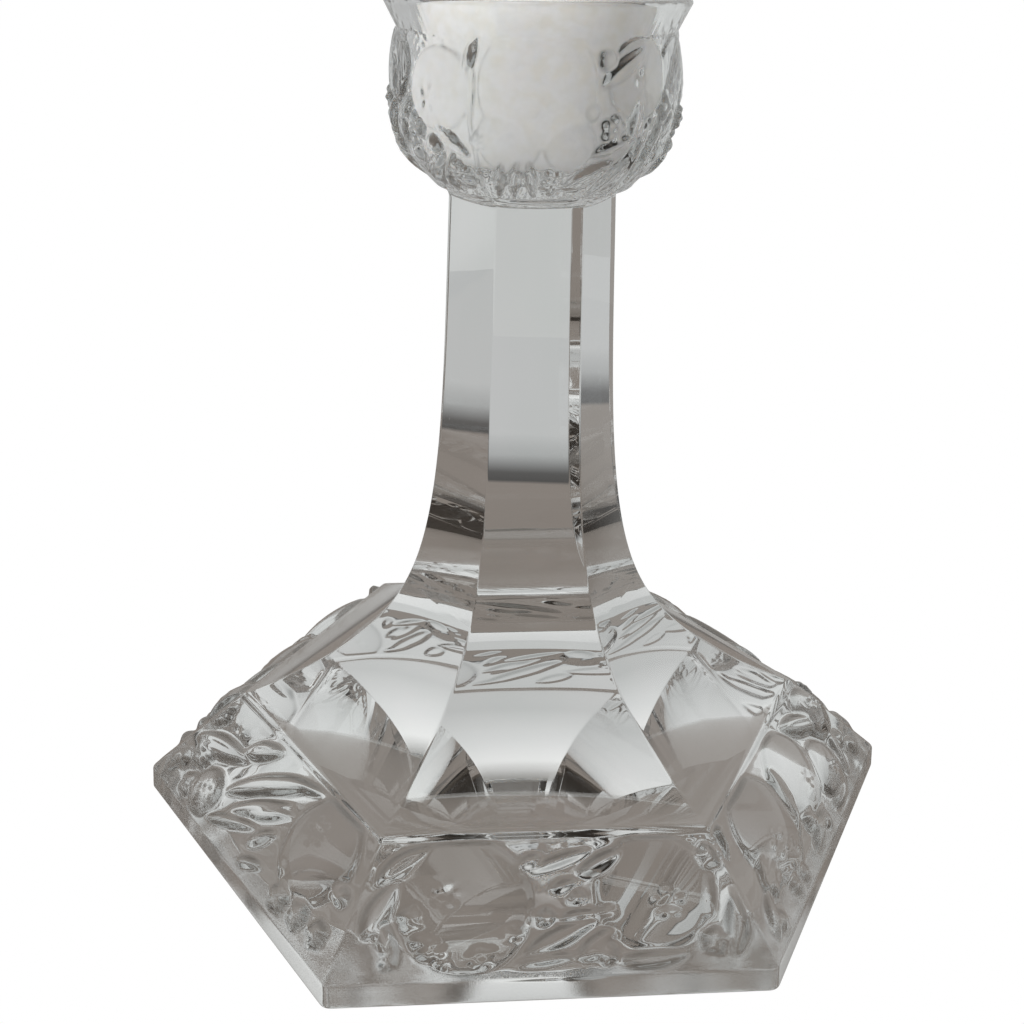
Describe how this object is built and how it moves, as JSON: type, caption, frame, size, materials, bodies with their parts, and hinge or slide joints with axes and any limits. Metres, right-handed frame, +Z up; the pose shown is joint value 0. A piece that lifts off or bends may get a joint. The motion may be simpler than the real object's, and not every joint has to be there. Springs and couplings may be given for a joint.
{
  "type": "candlestick",
  "caption": "Clear pressed-glass candlestick with a wide six-sided foot, a flared six-sided stem, a round cup with fruit relief, and a thick candle that lifts out.",
  "frame": {"origin": "middle of the flat underside of the foot", "axes": "+Z up along the stem, a flat side of the foot faces -Y and corners lie on +X and -X"},
  "size_m": [0.1508, 0.1306, 0.196],
  "materials": {
    "crystal": "clear, fire-polished",
    "bond": "clear",
    "wax": "satin",
    "cotton": "matte"
  },
  "bodies": {
    "holder": {"foot": "crystal", "stem": "crystal", "candle_cup": "crystal", "foot_bond": "bond", "cup_bond": "bond"},
    "candle": {"candle": "wax", "wick": "cotton"}
  },
  "joints": [
    {"name": "candle_lift", "type": "slide", "parent": "holder", "child": "candle", "axis": [0, 0, 1], "range_m": [0, 0.08]}
  ]
}
